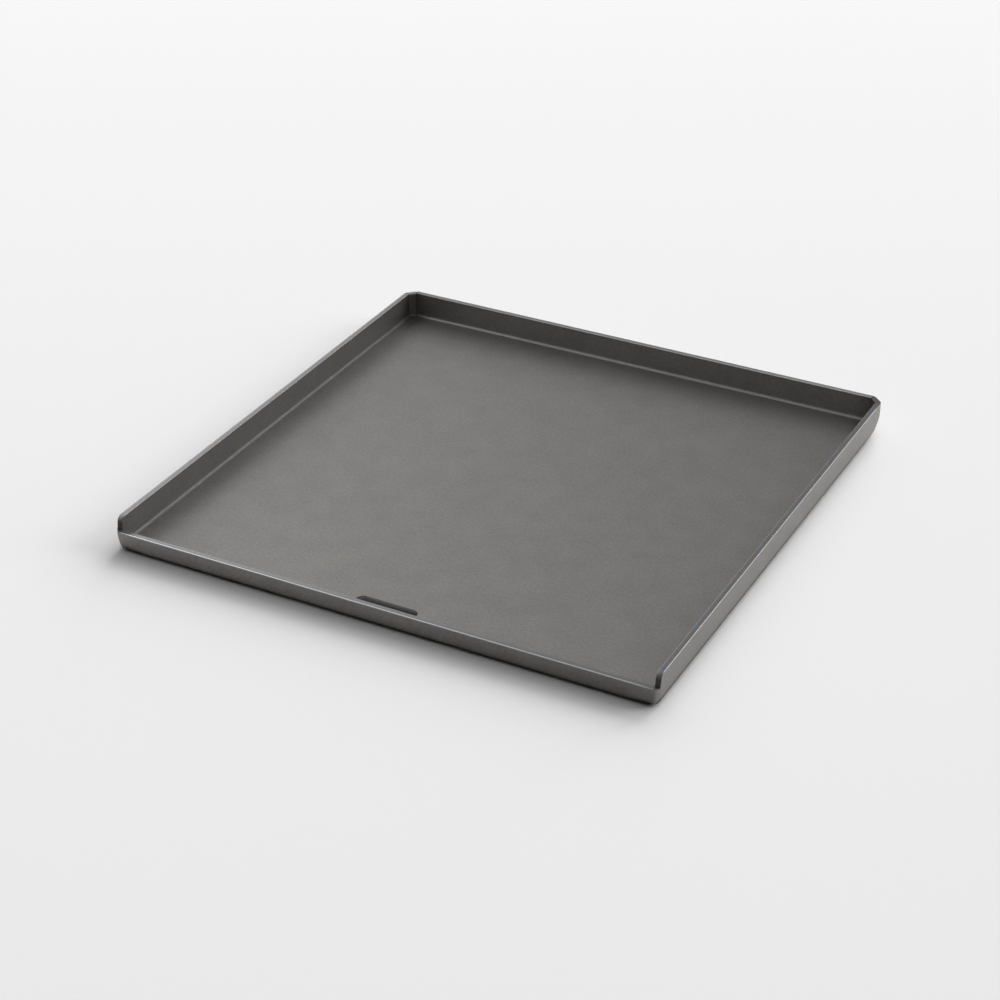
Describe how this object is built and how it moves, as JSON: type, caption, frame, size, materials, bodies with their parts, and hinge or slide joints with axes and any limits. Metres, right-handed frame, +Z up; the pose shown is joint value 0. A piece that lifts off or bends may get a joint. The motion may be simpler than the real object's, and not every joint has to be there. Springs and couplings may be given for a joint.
{
  "type": "camp griddle plate",
  "caption": "Shallow square steel griddle tray with upright side and back walls, chamfered rear corners, a low front lip and a lifting slot behind it.",
  "frame": {"origin": "on the ground under the middle of the tray's outside box", "axes": "+Z up out of the tray, -Y out of the front lip, +X to the right as seen from the front"},
  "size_m": [0.34, 0.342, 0.02],
  "materials": {
    "griddle_steel": "matte dark oxide skin with a fine even grain, edges rubbed brighter",
    "weld_steel": "weld metal ground flush and darkened like the sheet"
  },
  "bodies": {
    "root": {"griddle_pan": "griddle_steel", "rear_left_corner_plate": "griddle_steel", "rear_right_corner_plate": "griddle_steel", "rear_left_side_seam_weld": "weld_steel", "rear_left_back_seam_weld": "weld_steel", "rear_right_side_seam_weld": "weld_steel", "rear_right_back_seam_weld": "weld_steel", "front_left_corner_weld": "weld_steel", "front_right_corner_weld": "weld_steel"}
  },
  "joints": []
}
